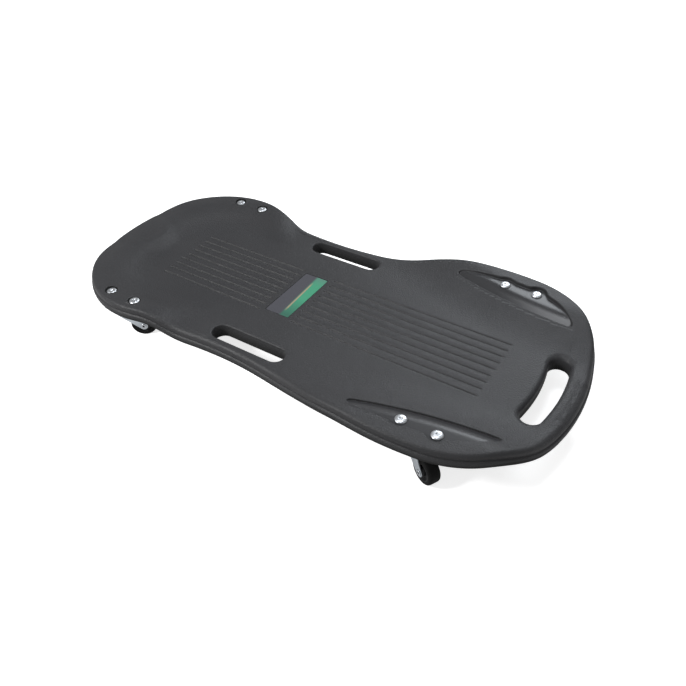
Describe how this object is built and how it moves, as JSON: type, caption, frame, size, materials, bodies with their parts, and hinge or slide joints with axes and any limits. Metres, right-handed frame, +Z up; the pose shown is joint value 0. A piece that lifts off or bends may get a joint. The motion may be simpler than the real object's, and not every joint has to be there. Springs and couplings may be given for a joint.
{
  "type": "mechanic creeper",
  "caption": "Low moulded board on swivel casters, with raised bolsters, a dished bed and handle slots, for lying on while working under a vehicle.",
  "frame": {"origin": "middle of the outline's bounding box at floor level", "axes": "+X towards the end with the curved handle slot, +Y to the far side, +Z up"},
  "size_m": [1.0178, 0.495, 0.102],
  "materials": {
    "board_plastic": "fine pebbled grain, smooth in the pockets",
    "label_print": "printed, satin",
    "rivet_steel": "bright",
    "zinc_plate": "bright zinc plating",
    "zinc_fork": "bright zinc plating",
    "pin_steel": "zinc plated",
    "ball_steel": "polished",
    "washer_steel": "plain",
    "axle_steel": "zinc plated",
    "bush_steel": "plain",
    "hub_plastic": "moulded",
    "tyre_rubber": "smooth tread"
  },
  "bodies": {
    "board": {"board_shell": "board_plastic", "label_plate": "label_print", "rivets": "rivet_steel", "head_near_plate": "zinc_plate", "head_near_kingpin": "pin_steel", "head_far_plate": "zinc_plate", "head_far_kingpin": "pin_steel", "foot_near_plate": "zinc_plate", "foot_near_kingpin": "pin_steel", "foot_far_plate": "zinc_plate", "foot_far_kingpin": "pin_steel"},
    "head_near_swivel": {"head_near_balls": "ball_steel", "head_near_washer": "washer_steel", "head_near_fork": "zinc_fork", "head_near_axle": "axle_steel", "head_near_bush": "bush_steel"},
    "head_near_wheel": {"head_near_hub": "hub_plastic", "head_near_tyre": "tyre_rubber"},
    "head_far_swivel": {"head_far_balls": "ball_steel", "head_far_washer": "washer_steel", "head_far_fork": "zinc_fork", "head_far_axle": "axle_steel", "head_far_bush": "bush_steel"},
    "head_far_wheel": {"head_far_hub": "hub_plastic", "head_far_tyre": "tyre_rubber"},
    "foot_near_swivel": {"foot_near_balls": "ball_steel", "foot_near_washer": "washer_steel", "foot_near_fork": "zinc_fork", "foot_near_axle": "axle_steel", "foot_near_bush": "bush_steel"},
    "foot_near_wheel": {"foot_near_hub": "hub_plastic", "foot_near_tyre": "tyre_rubber"},
    "foot_far_swivel": {"foot_far_balls": "ball_steel", "foot_far_washer": "washer_steel", "foot_far_fork": "zinc_fork", "foot_far_axle": "axle_steel", "foot_far_bush": "bush_steel"},
    "foot_far_wheel": {"foot_far_hub": "hub_plastic", "foot_far_tyre": "tyre_rubber"}
  },
  "joints": [
    {"name": "head_near_swivel_turn", "type": "hinge", "parent": "board", "child": "head_near_swivel", "pos_m": [-0.331, -0.197, 0.058], "axis": [0, 0, 1], "continuous": true},
    {"name": "head_near_wheel_roll", "type": "hinge", "parent": "head_near_swivel", "child": "head_near_wheel", "pos_m": [-0.30972, -0.18038, 0.025], "axis": [-0.6157, 0.788, 0], "continuous": true},
    {"name": "head_far_swivel_turn", "type": "hinge", "parent": "board", "child": "head_far_swivel", "pos_m": [-0.331, 0.197, 0.058], "axis": [0, 0, 1], "continuous": true},
    {"name": "head_far_wheel_roll", "type": "hinge", "parent": "head_far_swivel", "child": "head_far_wheel", "pos_m": [-0.30597, 0.20711, 0.025], "axis": [-0.3746, 0.9272, 0], "continuous": true},
    {"name": "foot_near_swivel_turn", "type": "hinge", "parent": "board", "child": "foot_near_swivel", "pos_m": [0.315, -0.2015, 0.058], "axis": [0, 0, 1], "continuous": true},
    {"name": "foot_near_wheel_roll", "type": "hinge", "parent": "foot_near_swivel", "child": "foot_near_wheel", "pos_m": [0.33884, -0.21418, 0.025], "axis": [0.4695, 0.8829, 0], "continuous": true},
    {"name": "foot_far_swivel_turn", "type": "hinge", "parent": "board", "child": "foot_far_swivel", "pos_m": [0.315, 0.2015, 0.058], "axis": [0, 0, 1], "continuous": true},
    {"name": "foot_far_wheel_roll", "type": "hinge", "parent": "foot_far_swivel", "child": "foot_far_wheel", "pos_m": [0.33568, 0.18414, 0.025], "axis": [0.6428, 0.766, 0], "continuous": true}
  ]
}
